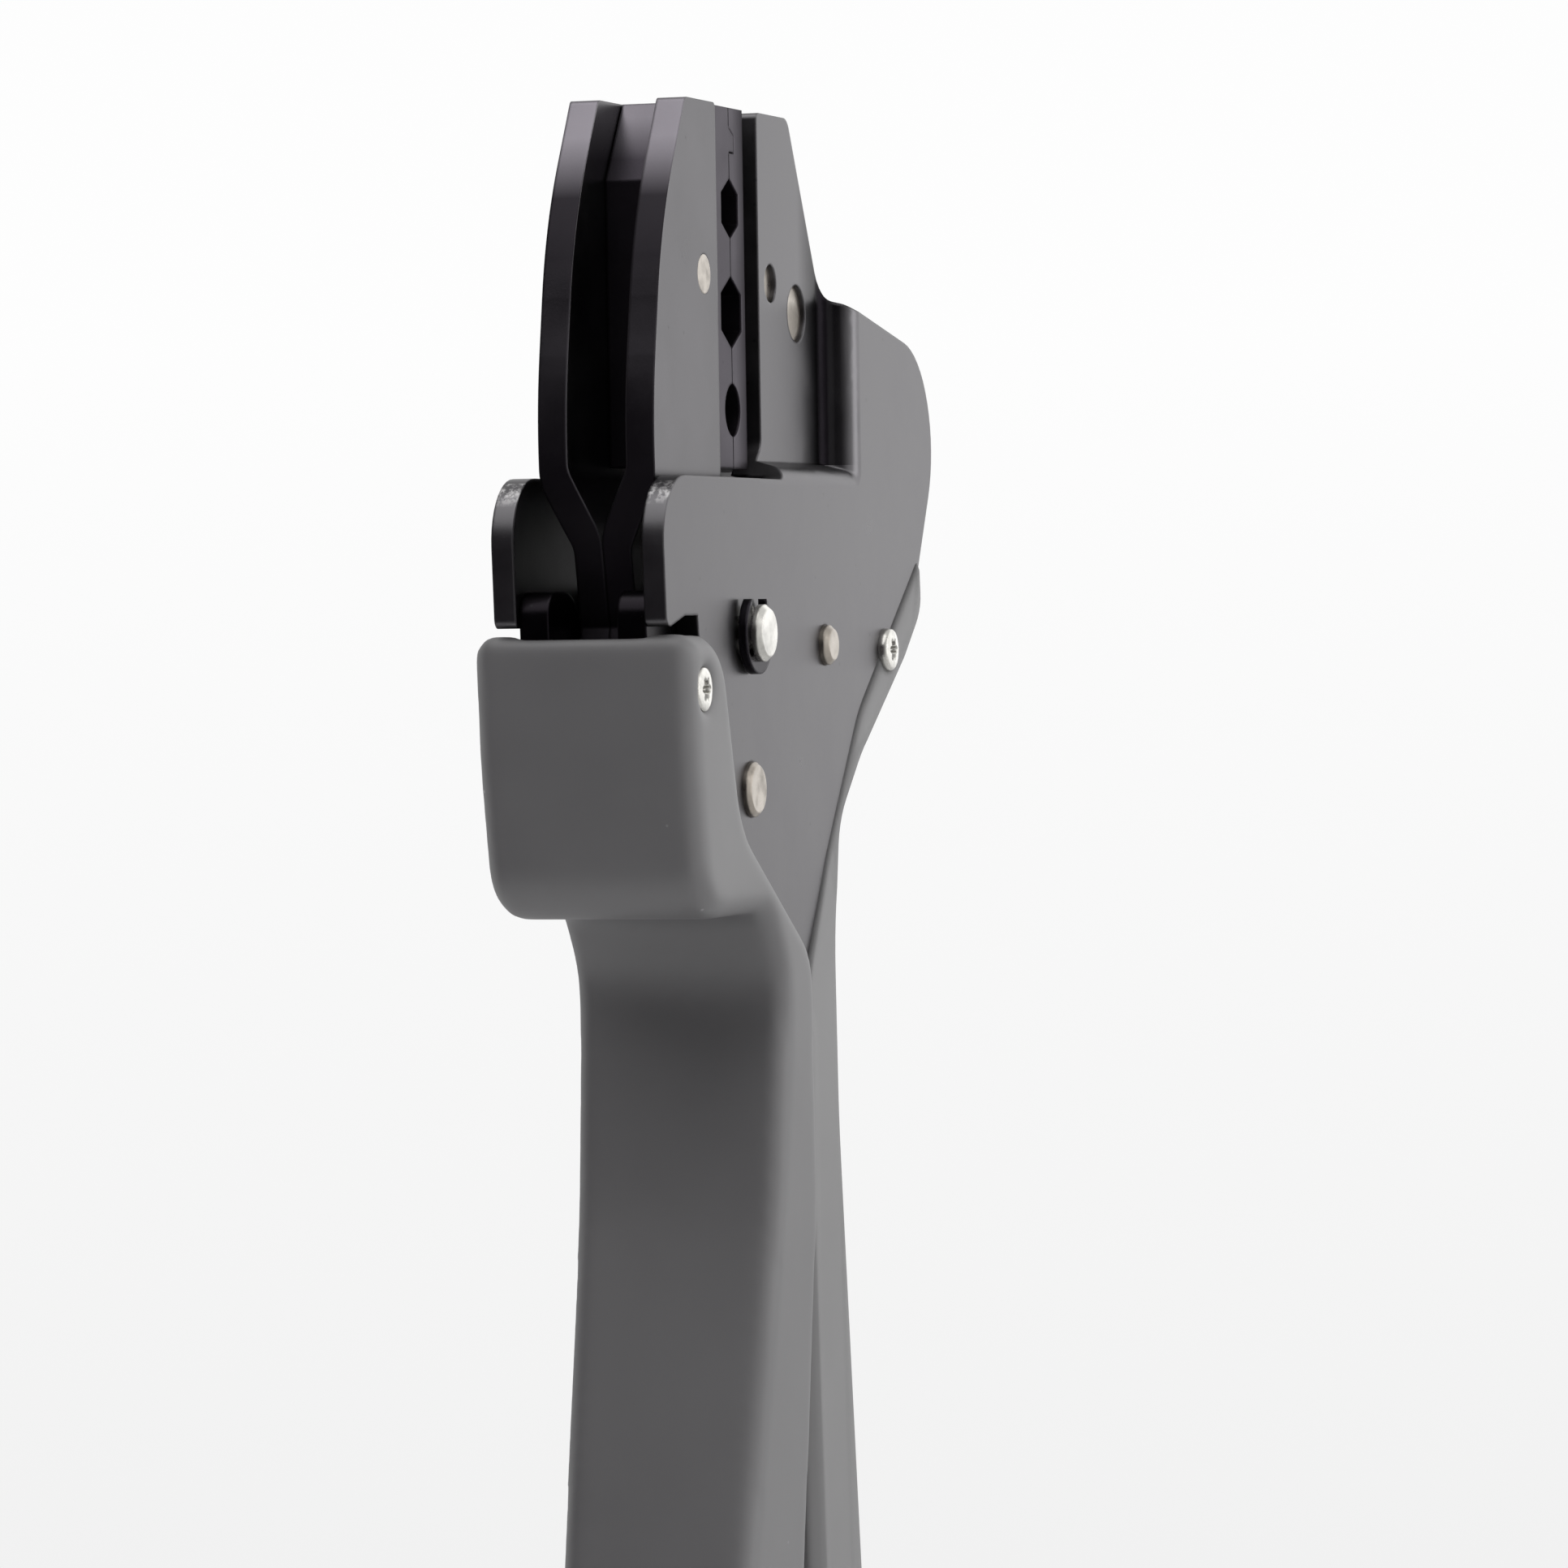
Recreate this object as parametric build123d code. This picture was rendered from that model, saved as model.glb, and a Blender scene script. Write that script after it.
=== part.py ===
from build123d import *
import os
from math import atan2, cos, degrees, radians, sin, sqrt, tan

# Ratchet crimping tool for coaxial connectors, in millimetres.
#
# Everything is drawn about the centre of the large hexagon, where the two dies meet:
# X runs from the moving jaw to the fixed jaw, Z runs up along the tool, and the near side
# is at negative Y. Depths from the middle plane are written as t, so near is t and far is -t.
# The export lifts the tool so that it stands on its handle ends, centred under its head.

# Dies
HEX_LARGE = 6.48
HEX_SMALL = 5.41
HEX_SMALL_Z = 10.6
ROUND_DEPTH = 2.45
ROUND_HEIGHT = 5.5
ROUND_Z = -10.0
DIE_TOP = 20.9
DIE_BOTTOM = -16.0
DIE_HEAD_DEPTH = 4.4
DIE_HEAD_HALF = 5.0
TONGUE_HALF = 3.0
TONGUE_GAP = 0.1
TONGUE_BACK = 15.2
TONGUE_BEVEL = 8.0
DIE_PIN_X = 11.6
DIE_PIN_Z = 3.4
DIE_PIN_R = 2.0
KEY_REACH = 1.5
KEY_Z = 17.6
KEY_HEIGHT = 2.4
KEY_GAP = 0.15

# Moving jaw: two formed plates
JAW_SHEET = 3.0
JAW_EDGE_X = -7.4
JAW_BEND_TOP = -17.0
JAW_BEND_FOOT = -23.5
JAW_BEND_R = 3.0
JAW_PIVOT_HUB_R = 7.2
JAW_NECK_X = -24.5
TAIL_R = 3.6

# Frame: two formed plates that are the fixed jaw and the core of the fixed handle
FRAME_SHEET = 2.3
FRAME_OUTER = 9.0
FIXED_JAW_EDGE_X = 7.9
FIXED_JAW_TOP = 20.9
LOBE_TOP = -17.1
JOGGLE_FLOOR_Z = -15.1
JOGGLE_RISE = 1.0
JOGGLE_WALL_X = 28.0
JOGGLE_WALL_SLOPE = 0.9
JOGGLE_START_X = 4.6
JOGGLE_FLOOR_R = 1.8
JOGGLE_RIM_R = 2.0

# Pivots
PIVOT = (-8.0, -32.8)
PIVOT_R = 2.9
PIVOT_PROUD = 2.3
CLIP_R = 4.15
CLIP_THICK = 0.9
CLIP_STANDOFF = 0.3
LINK = (-22.5, -41.8)
LINK_R = 2.0
TOGGLE = (-16.3, -45.8)
TOGGLE_R = 1.75
TOGGLE_CLEARANCE = 0.35
ANCHOR = (-7.8, -48.6)
ANCHOR_R = 2.8
ANCHOR_PROUD = 0.8
RUNNING_GAP = 0.05
PIN_CHAMFER = 0.5
REAR_RIVET = (17.1, -34.2)
REAR_RIVET_R = 2.1
REAR_RIVET_PROUD = 1.0
JAW_RIVET = (20.1, 0.6)
JAW_RIVET_R = 3.0
JAW_RIVET_SINK = 0.5

# Adjusting wheel on the far side
WHEEL_R = 7.0
WHEEL_THICK = 2.4
WHEEL_NOTCHES = 6
WHEEL_NOTCH_GAP = 0.15
WHEEL_SCREW_R = 0.85
WHEEL_SCREW_HEAD_R = 1.9
WHEEL_SCREW_RING = 7.3
WHEEL_SCREW_TURN = 30.0

# Pressure arm and pawl
ARM_HALF = 3.0
ARM_END_R = 3.1
ARM_HUB_R = 5.6
TEETH_R = 7.0
TOOTH_DEPTH = 0.9
TOOTH_COUNT = 7
TEETH_FROM = 227.0
TEETH_TO = 288.0
PAWL = (-16.6, -57.4)
PAWL_PIN_R = 1.25
PAWL_R = 2.4
PAWL_HALF = 2.4
PAWL_NOSE_GAP = 0.55
PAWL_ROOM = 0.8

# Moving handle
HANDLE_JAW_GAP = 0.6
HANDLE_SIDE_GAP = 0.1
BLOCK_CHEEK = 2.3
POCKET_GAP = 0.3
MOVING_GRIP_COVER = 1.3
TAPER_FROM_Z = -70.0
TAPER_TO_Z = -128.0
BLOCK_FRONT = -33.4
BLOCK_TOP = -32.6
BLOCK_BOTTOM = -61.0
BLOCK_WALL = 2.6
MOVING_SCREW = (-28.6, -38.2)
MOVING_SCREW_HEAD_R = 2.3

# Fixed handle
FIXED_GRIP_COVER = 0.5
FIXED_SCREW = (37.8, -34.9)
FIXED_SCREW_HEAD_R = 2.3
FIXED_SCREW_PROUD = 0.6

# Shared by the handles
STAND_Z = -200.0
SCREW_R = 1.4
SCREW_HEAD_THICK = 1.4
CORE_END = 12.0
GRIP_CHAMFER = 1.5

# Sizes worked out from the ones above
JAW_INNER = TONGUE_HALF + TONGUE_GAP
FIXED_JAW_INNER = TONGUE_HALF + TONGUE_GAP
FIXED_JAW_OUTER = FIXED_JAW_INNER + FRAME_SHEET
FRAME_INNER = FRAME_OUTER - FRAME_SHEET
HANDLE_INNER = JAW_SHEET + HANDLE_JAW_GAP
HANDLE_OUTER = FRAME_INNER - HANDLE_SIDE_GAP
POCKET_HALF = FRAME_OUTER + POCKET_GAP
BLOCK_HALF = POCKET_HALF + BLOCK_CHEEK
MOVING_GRIP_HALF = FRAME_OUTER + MOVING_GRIP_COVER
FIXED_GRIP_HALF = FRAME_OUTER + FIXED_GRIP_COVER
CENTRE_X = 11.0


def outline(corners):
    """Closed flat outline on the side view from (x, z, corner radius) triples.

    Each corner is an arc tangent to its two sides; a radius gives way where a side is short.
    """
    sides = []
    first = last = None
    for index, (x, z, radius) in enumerate(corners):
        corner = Vector(x, z)
        back = Vector(*corners[index - 1][:2]) - corner
        ahead = Vector(*corners[(index + 1) % len(corners)][:2]) - corner
        half_angle = radians(back.get_angle(ahead)) / 2
        setback = min(radius / tan(half_angle), 0.49 * min(back.length, ahead.length))
        enter = corner + back.normalized() * setback
        leave = corner + ahead.normalized() * setback
        if last is not None:
            sides.append(Edge.make_line(last, enter))
        if setback > 0:
            radius = setback * tan(half_angle)
            inward = (back.normalized() + ahead.normalized()).normalized()
            middle = corner + inward * (radius / sin(half_angle) - radius)
            sides.append(Edge.make_three_point_arc(enter, middle, leave))
        first = enter if first is None else first
        last = leave
    sides.append(Edge.make_line(last, first))
    return make_face(sides)


def slab(face, t_from, t_to):
    """Side view outline made solid between two depths; larger t is nearer the viewer."""
    return extrude(Plane.XZ.offset(t_from) * face, amount=t_to - t_from)


def disc(centre, radius, t_from, t_to):
    """Round bar across the tool."""
    return slab(Pos(centre[0], centre[1]) * Circle(radius), t_from, t_to)


def far(shape):
    """The same piece on the far side of the tool."""
    return mirror(shape, about=Plane.XZ)


def hexagon(across_flats):
    """Hexagon with a corner up and a corner down."""
    return RegularPolygon(across_flats / sqrt(3), 6, rotation=30)


def strip(corners, x_from, x_to):
    """Edge view outline, given as (t, z, corner radius) triples, drawn out along X."""
    edge_view = Plane(origin=(x_to, 0, 0), x_dir=(0, -1, 0), z_dir=(-1, 0, 0))
    return extrude(edge_view * outline(corners), amount=x_to - x_from)


# The dies

def die_cavities():
    """The two hexagons and the round hole, whole, across both dies."""
    reach = DIE_HEAD_HALF + 1
    large = slab(hexagon(HEX_LARGE), -reach, reach)
    small = slab(Pos(0, HEX_SMALL_Z) * hexagon(HEX_SMALL), -reach, reach)
    half = ROUND_HEIGHT / 2
    radius = (half * half + ROUND_DEPTH * ROUND_DEPTH) / (2 * ROUND_DEPTH)
    shift = radius - ROUND_DEPTH
    lens = (Pos(shift, ROUND_Z) * Circle(radius)) & (Pos(-shift, ROUND_Z) * Circle(radius))
    return large + small + slab(lens, -reach, reach)


def die_blank(side):
    """One die before its cavities: a wide head on the seam and a tongue behind it."""
    head = outline([
        (0, DIE_BOTTOM, 0),
        (side * DIE_HEAD_DEPTH, DIE_BOTTOM, 0),
        (side * DIE_HEAD_DEPTH, DIE_TOP, 0),
        (0, DIE_TOP, 0),
    ])
    tongue = outline([
        (side * DIE_HEAD_DEPTH, DIE_BOTTOM, 0),
        (side * TONGUE_BACK, DIE_BOTTOM, 0),
        (side * TONGUE_BACK, DIE_TOP - TONGUE_BEVEL, 0),
        (side * (TONGUE_BACK - TONGUE_BEVEL * 0.7), DIE_TOP, 0),
        (side * DIE_HEAD_DEPTH, DIE_TOP, 0),
    ])
    blank = slab(head, -DIE_HEAD_HALF, DIE_HEAD_HALF) + slab(tongue, -TONGUE_HALF, TONGUE_HALF)
    return blank - disc((side * DIE_PIN_X, DIE_PIN_Z), DIE_PIN_R, -DIE_HEAD_HALF, DIE_HEAD_HALF)


def key_outline(grow):
    """Tab of the moving die that enters the fixed die and lines the halves up."""
    low = KEY_Z - KEY_HEIGHT / 2 - grow
    high = KEY_Z + KEY_HEIGHT / 2 + grow
    tip = KEY_REACH + grow
    return outline([(0, low, 0), (tip, low, 0), (tip, high - tip * 0.5, 0), (0, high, 0)])


def moving_die():
    key = slab(key_outline(0), -DIE_HEAD_HALF, DIE_HEAD_HALF)
    return die_blank(-1) - die_cavities() + key


def fixed_die():
    notch = slab(key_outline(KEY_GAP), -DIE_HEAD_HALF - 1, DIE_HEAD_HALF + 1)
    return die_blank(1) - die_cavities() - notch


def die_pin(side, outer, sink):
    reach = outer - sink
    return disc((side * DIE_PIN_X, DIE_PIN_Z), DIE_PIN_R, -reach, reach)


# The moving jaw

def jaw_outline():
    """Side view of the moving jaw: blade, hub on the pivot and tail on the link pin."""
    tail_x, tail_z = LINK
    hub_x, hub_z = PIVOT
    blade = outline([
        (JAW_EDGE_X, DIE_TOP, 0.6),
        (-16.6, DIE_TOP, 0.8),
        (-24.4, 8.0, 40),
        (-28.4, -14.0, 70),
        (JAW_NECK_X, -32.0, 0),
        (hub_x + 1.0, -32.0, 0),
        (hub_x + JAW_PIVOT_HUB_R, hub_z + 1.0, 0),
        (hub_x + JAW_PIVOT_HUB_R - 0.6, hub_z + 6, 5),
        (JAW_EDGE_X, JAW_BEND_TOP - 1, 5),
    ])
    tail = make_face(Polyline(
        (JAW_NECK_X, -32.0),
        (tail_x - TAIL_R, tail_z),
        (tail_x + TAIL_R, tail_z),
        (hub_x - 4.0, hub_z - 6.0),
        (hub_x, -32.0),
        close=True,
    ))
    return blade + tail + Pos(*PIVOT) * Circle(JAW_PIVOT_HUB_R) + Pos(*LINK) * Circle(TAIL_R)


def jaw_plate():
    """One jaw plate: wide apart at the dies, bent in to meet the other one at the pivot."""
    outer = JAW_INNER + JAW_SHEET
    bend = JAW_SHEET * tan(radians(12.5))
    folded = strip([
        (JAW_INNER, DIE_TOP + 1, 0),
        (outer, DIE_TOP + 1, 0),
        (outer, JAW_BEND_TOP - bend, JAW_BEND_R + JAW_SHEET),
        (JAW_SHEET, JAW_BEND_FOOT - bend, JAW_BEND_R),
        (JAW_SHEET, -60, 0),
        (0, -60, 0),
        (0, JAW_BEND_FOOT + bend, JAW_BEND_R + JAW_SHEET),
        (JAW_INNER, JAW_BEND_TOP + bend, JAW_BEND_R),
    ], -40, 10)
    plate = folded & slab(jaw_outline(), 0, outer)
    plate -= disc(PIVOT, PIVOT_R + RUNNING_GAP, -1, outer)
    plate -= disc(LINK, LINK_R + RUNNING_GAP, -1, outer)
    return plate - disc((-DIE_PIN_X, DIE_PIN_Z), DIE_PIN_R, -1, outer + 1)


# The frame

def frame_outline():
    anchor_x, anchor_z = ANCHOR
    return outline([
        (FIXED_JAW_EDGE_X, FIXED_JAW_TOP, 0.6),
        (18.0, FIXED_JAW_TOP, 2.0),
        (28.6, 1.4, 3.5),
        (52.2, -2.7, 11.5),
        (57.3, -13.3, 11.5),
        (47.0, -32.4, 0),
        (26.0, -46.6, 0),
        (18.6, -56.0, 0),
        (18.4, -100.0, 0),
        (23.0, STAND_Z + CORE_END, 0),
        (15.0, STAND_Z + CORE_END, 0),
        (10.4, -100.0, 0),
        (10.4, -74.0, 0),
        (2.4, -65.8, 0),
        (anchor_x - 6.6, anchor_z - 6.8, 0),
        (anchor_x - 9.0, anchor_z - 2.0, 0),
        (-23.2, -33.6, 0),
        (-23.6, -30.9, 0),
        (-27.5, -30.9, 0),
        (-32.9, -32.2, 1.0),
        (-33.9, LOBE_TOP, 6.5),
        (4.0, LOBE_TOP, 2),
        (FIXED_JAW_EDGE_X, JOGGLE_FLOOR_Z + 1.5, 2),
    ])


def pocket(edge_x, edge_z, t_floor, t_rim):
    """Sloped hollow that sets the fixed jaw inward; its edges are given at the floor."""
    slope = (t_rim - t_floor) / (FRAME_OUTER - FIXED_JAW_OUTER)
    wide_x = edge_x + JOGGLE_WALL_SLOPE * slope
    low_z = edge_z - JOGGLE_RISE * slope
    top = FIXED_JAW_TOP + 5
    start = JOGGLE_START_X - 8
    floor = make_face(Polyline((start, edge_z), (edge_x, edge_z), (edge_x, top), (start, top), close=True))
    rim = make_face(Polyline((start, low_z), (wide_x, low_z), (wide_x, top), (start, top), close=True))
    return loft([Plane.XZ.offset(t_floor) * floor, Plane.XZ.offset(t_rim) * rim])


def rim_edges(formed):
    """Edges where the hollow of the fixed jaw meets the plate's outer face."""
    edges = []
    for edge in formed.edges().filter_by_position(Axis.Y, -FRAME_OUTER, -FRAME_OUTER):
        middle = edge.center()
        beside = abs(middle.X - JOGGLE_WALL_X) < 3 and edge.bounding_box().size.X < 0.01
        below = abs(middle.Z - JOGGLE_FLOOR_Z) < 3 and edge.bounding_box().size.Z < 0.01
        if beside or below:
            edges.append(edge)
    return edges


def frame_plate():
    """One frame plate: flat below, set inward at the fixed jaw to hold the die."""
    hollow = pocket(JOGGLE_WALL_X, JOGGLE_FLOOR_Z, FIXED_JAW_OUTER, FRAME_OUTER + 1)
    crease = hollow.edges().filter_by(Axis.Z).filter_by_position(Axis.Y, -FIXED_JAW_OUTER, -FIXED_JAW_OUTER)
    hollow = fillet(crease.sort_by(Axis.X)[-1], JOGGLE_FLOOR_R)
    raised = pocket(JOGGLE_WALL_X + FRAME_SHEET * 0.95, JOGGLE_FLOOR_Z - FRAME_SHEET * 0.65, FIXED_JAW_INNER, FRAME_OUTER)
    beside_throat = slab(Pos(JOGGLE_START_X + 25, 5) * Rectangle(50, 60), 0, FRAME_OUTER + 2)
    flat = slab(Pos(10, -90) * Rectangle(120, 260), FRAME_INNER, FRAME_OUTER)
    formed = flat + (raised & beside_throat) - hollow
    formed = fillet(rim_edges(formed), JOGGLE_RIM_R)
    plate = formed & slab(frame_outline(), 0, FRAME_OUTER)
    for centre, radius in frame_holes():
        plate -= disc(centre, radius, -1, FRAME_OUTER + 1)
    return plate


def frame_plate_far():
    """The far plate also takes the screw that locks the adjusting wheel."""
    return far(frame_plate()) - disc(wheel_screw_centre(), WHEEL_SCREW_R, -FRAME_OUTER, 0)


def frame_holes():
    """Holes through both frame plates, each the size of the pin that fills it."""
    return [
        (PIVOT, PIVOT_R),
        (ANCHOR, ANCHOR_R),
        (REAR_RIVET, REAR_RIVET_R),
        (JAW_RIVET, JAW_RIVET_R),
        ((DIE_PIN_X, DIE_PIN_Z), DIE_PIN_R),
        (FIXED_SCREW, SCREW_R),
    ]


def proud_pin(centre, radius, t_end):
    """Round pin across the tool with both ends chamfered."""
    pin = disc(centre, radius, -t_end, t_end)
    ends = pin.edges().group_by(Axis.Y)
    return chamfer(ends[0] + ends[-1], PIN_CHAMFER)


def jaw_pivot_pin():
    pin = proud_pin(PIVOT, PIVOT_R, FRAME_OUTER + PIVOT_PROUD)
    groove_mid = FRAME_OUTER + CLIP_THICK / 2 + CLIP_STANDOFF
    for side in (-1, 1):
        ring = disc(PIVOT, PIVOT_R + 1, groove_mid - CLIP_THICK / 2, groove_mid + CLIP_THICK / 2)
        ring -= disc(PIVOT, PIVOT_R - 0.5, groove_mid - CLIP_THICK, groove_mid + CLIP_THICK)
        pin -= ring if side == 1 else far(ring)
    return pin


def pivot_clip():
    """E-clip in the groove of the pivot pin, open at the top."""
    groove_mid = FRAME_OUTER + CLIP_THICK / 2 + CLIP_STANDOFF
    back, front = groove_mid - CLIP_THICK / 2, groove_mid + CLIP_THICK / 2
    clip = disc(PIVOT, CLIP_R, back, front) - disc(PIVOT, PIVOT_R - 0.5, 0, 20)
    mouth = Pos(PIVOT[0], PIVOT[1] + CLIP_R) * Rectangle(2 * (PIVOT_R - 0.6), 2 * CLIP_R)
    relief = [Rot(0, 0, turn) * Pos(0, -PIVOT_R) * Circle(0.9) for turn in (-60, 60)]
    for cut in relief:
        clip -= slab(Pos(*PIVOT) * cut, 0, 20)
    return clip - slab(mouth, 0, 20)


def pivot_spacer():
    """Collar on the pivot pin that fills the space between jaw and frame plate."""
    collar = disc(PIVOT, PIVOT_R + 2.0, JAW_SHEET + 0.1, FRAME_INNER)
    return collar - disc(PIVOT, PIVOT_R, 0, FRAME_OUTER)


def jaw_rivet():
    """Thick rivet that holds the two fixed jaw plates apart, sunk in its holes."""
    reach = FIXED_JAW_OUTER - JAW_RIVET_SINK
    return disc(JAW_RIVET, JAW_RIVET_R, -reach, reach)


def rear_rivet():
    return proud_pin(REAR_RIVET, REAR_RIVET_R, FRAME_OUTER + REAR_RIVET_PROUD)


def anchor_pin():
    """Fixed pivot of the pressure arm; an adjusting wheel is keyed to its far end."""
    pin = disc(ANCHOR, ANCHOR_R, -FRAME_OUTER - WHEEL_THICK - ANCHOR_PROUD, FRAME_OUTER + ANCHOR_PROUD)
    return chamfer(pin.edges().group_by(Axis.Y)[0], 0.4)


def adjusting_wheel():
    """Notched wheel on the far side that turns the anchor pin's eccentric when it is set."""
    wheel = Circle(WHEEL_R)
    for index in range(WHEEL_NOTCHES):
        notch = Pos(WHEEL_SCREW_RING, 0) * Circle(WHEEL_SCREW_R + WHEEL_NOTCH_GAP)
        wheel -= Rot(0, 0, WHEEL_SCREW_TURN + index * 360 / WHEEL_NOTCHES) * notch
    solid = slab(Pos(*ANCHOR) * wheel, -FRAME_OUTER - WHEEL_THICK, -FRAME_OUTER)
    return solid - disc(ANCHOR, ANCHOR_R, -20, 0)


def wheel_screw_centre():
    """The screw stands in the notch of the wheel that looks up and to the rear."""
    turn = radians(WHEEL_SCREW_TURN)
    return (ANCHOR[0] + WHEEL_SCREW_RING * cos(turn), ANCHOR[1] + WHEEL_SCREW_RING * sin(turn))


def wheel_screw():
    """Small screw in one notch that locks the adjusting wheel."""
    wheel_face = FRAME_OUTER + WHEEL_THICK
    shank = disc(wheel_screw_centre(), WHEEL_SCREW_R, -wheel_face, -FRAME_INNER)
    head = disc(wheel_screw_centre(), WHEEL_SCREW_HEAD_R, -wheel_face - 1.4, -wheel_face)
    return shank + head


# The pressure arm and its pawl

def arm_outline():
    """Link from the toggle pin to the anchor, with a toothed sector below the toggle pin."""
    toggle = Pos(*TOGGLE)
    span_x, span_z = ANCHOR[0] - TOGGLE[0], ANCHOR[1] - TOGGLE[1]
    body = toggle * Circle(ARM_END_R) + Pos(*ANCHOR) * Circle(ARM_HUB_R)
    web = make_face(Polyline(
        (TOGGLE[0] + 0.4, TOGGLE[1] + ARM_END_R - 0.1),
        (ANCHOR[0] + 1.0, ANCHOR[1] + ARM_HUB_R - 0.2),
        (ANCHOR[0] - 1.0, ANCHOR[1] - ARM_HUB_R + 0.2),
        (TOGGLE[0] + span_x * 0.2, TOGGLE[1] + span_z * 0.2 - ARM_END_R),
        close=True,
    ))
    points = [(0, 0)]
    step = (TEETH_TO - TEETH_FROM) / TOOTH_COUNT
    for index in range(TOOTH_COUNT):
        start = radians(TEETH_FROM + index * step)
        tip = radians(TEETH_FROM + (index + 0.5) * step)
        inner = TEETH_R - TOOTH_DEPTH
        points.append((inner * cos(start), inner * sin(start)))
        points.append((TEETH_R * cos(tip), TEETH_R * sin(tip)))
    last = radians(TEETH_TO)
    points.append(((TEETH_R - TOOTH_DEPTH) * cos(last), (TEETH_R - TOOTH_DEPTH) * sin(last)))
    sector = toggle * make_face(Polyline(*points, close=True))
    return body + web + sector


def pressure_arm():
    arm = slab(arm_outline(), -ARM_HALF, ARM_HALF)
    arm -= disc(TOGGLE, TOGGLE_R + TOGGLE_CLEARANCE, -10, 10)
    return arm - disc(ANCHOR, ANCHOR_R + RUNNING_GAP, -10, 10)


def pawl():
    """Double-acting pawl whose nose points at the teeth."""
    reach_x, reach_z = TOGGLE[0] - PAWL[0], TOGGLE[1] - PAWL[1]
    distance = sqrt(reach_x ** 2 + reach_z ** 2)
    nose = distance - TEETH_R - PAWL_NOSE_GAP
    body = outline([
        (-PAWL_R, 0, 0),
        (-PAWL_R * 0.75, -PAWL_R * 0.9, 1.2),
        (PAWL_R * 0.75, -PAWL_R * 0.9, 1.2),
        (PAWL_R, 0, 0),
        (0.5, nose, 0.3),
        (-0.5, nose, 0.3),
    ])
    lean = -degrees(atan2(reach_x, reach_z))
    shape = slab(Pos(*PAWL) * Rot(0, 0, lean) * body, -PAWL_HALF, PAWL_HALF)
    return shape - disc(PAWL, PAWL_PIN_R + RUNNING_GAP, -10, 10)


def handle_pin(centre, radius):
    """Pin set flush in both handle plates."""
    return disc(centre, radius, -HANDLE_OUTER, HANDLE_OUTER)


# The moving handle

def handle_outline():
    return outline([
        (-32.4, -28.4, 2.5),
        (-25.5, -28.4, 4),
        (-12.6, -41.6, 0),
        (-12.0, -52.0, 0),
        (-9.6, -55.6, 0),
        (-1.0, -59.5, 0),
        (3.6, -70.0, 0),
        (3.4, -90.0, 0),
        (-3.0, -130.0, 0),
        (-12.9, STAND_Z + CORE_END, 0),
        (-21.1, STAND_Z + CORE_END, 0),
        (-11.2, -130.0, 0),
        (-3.6, -90.0, 0),
        (-3.4, -67.0, 0),
        (-9.0, -60.0, 0),
        (-27.0, -59.0, 0),
        (-31.2, -50.0, 0),
    ])


def handle_plate():
    plate = slab(handle_outline(), HANDLE_INNER, HANDLE_OUTER)
    for centre, radius in ((LINK, LINK_R), (TOGGLE, TOGGLE_R), (PAWL, PAWL_PIN_R), (MOVING_SCREW, SCREW_R)):
        plate -= disc(centre, radius, 0, 20)
    return plate


def moving_grip_outer():
    """Block round the linkage that runs on into the grip, its sides drawing in on the way."""
    side_view = outline([
        (BLOCK_FRONT, BLOCK_TOP, 1.6),
        (-22.6, BLOCK_TOP, 7),
        (-17.2, -51.6, 9),
        (4.6, -65.2, 7),
        (6.8, -92.0, 60),
        (3.4, -128.0, 90),
        (-6.6, STAND_Z, 5),
        (-27.4, STAND_Z, 5),
        (-16.2, -128.0, 90),
        (-7.6, -92.0, 60),
        (-4.6, -68.5, 9),
        (-9.8, BLOCK_BOTTOM, 5),
        (-29.6, BLOCK_BOTTOM, 6.5),
        (-32.4, -46.0, 40),
    ])
    front_view = strip([
        (BLOCK_HALF, BLOCK_TOP + 10, 0),
        (BLOCK_HALF, TAPER_FROM_Z, 0),
        (MOVING_GRIP_HALF, TAPER_TO_Z, 0),
        (MOVING_GRIP_HALF, STAND_Z, 0),
        (-MOVING_GRIP_HALF, STAND_Z, 0),
        (-MOVING_GRIP_HALF, TAPER_TO_Z, 0),
        (-BLOCK_HALF, TAPER_FROM_Z, 0),
        (-BLOCK_HALF, BLOCK_TOP + 10, 0),
    ], -60, 40)
    grip = slab(side_view, -BLOCK_HALF, BLOCK_HALF) & front_view
    return soften(grip, MOVING_GRIP_HALF, (TAPER_FROM_Z, TAPER_TO_Z))


def soften(grip, half, creases=()):
    """Take off a grip's long edges: all that lie in its broad sides, but not the creases there."""
    edges = []
    for edge in grip.edges():
        box = edge.bounding_box()
        on_side = min(abs(box.min.Y), abs(box.max.Y)) > half - 0.01
        on_crease = box.size.Z < 0.01 and any(abs(box.min.Z - z) < 0.01 for z in creases)
        if on_side and not on_crease:
            edges.append(edge)
    return chamfer(edges, GRIP_CHAMFER)


def moving_grip():
    """Moulded grip with a pocket that the frame plates swing in and a slot for its plates."""
    inner = BLOCK_FRONT + BLOCK_WALL
    swing = slab(outline([
        (inner, -10, 0),
        (inner, -48.0, 0),
        (-28.4, -58.6, 0),
        (-20.0, -58.6, 0),
        (-13.0, -57.4, 0),
        (0.9, -66.0, 0),
        (1.4, -71.8, 0),
        (30, -71.8, 0),
        (30, -10, 0),
    ]), -POCKET_HALF, POCKET_HALF)
    pawl_room = disc(PAWL, PAWL_R + PAWL_ROOM, -HANDLE_INNER, HANDLE_INNER)
    grip = moving_grip_outer() - swing - slab(handle_outline(), -HANDLE_OUTER, HANDLE_OUTER) - pawl_room
    screw = moving_grip_screw()
    return grip - screw - far(screw)


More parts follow.
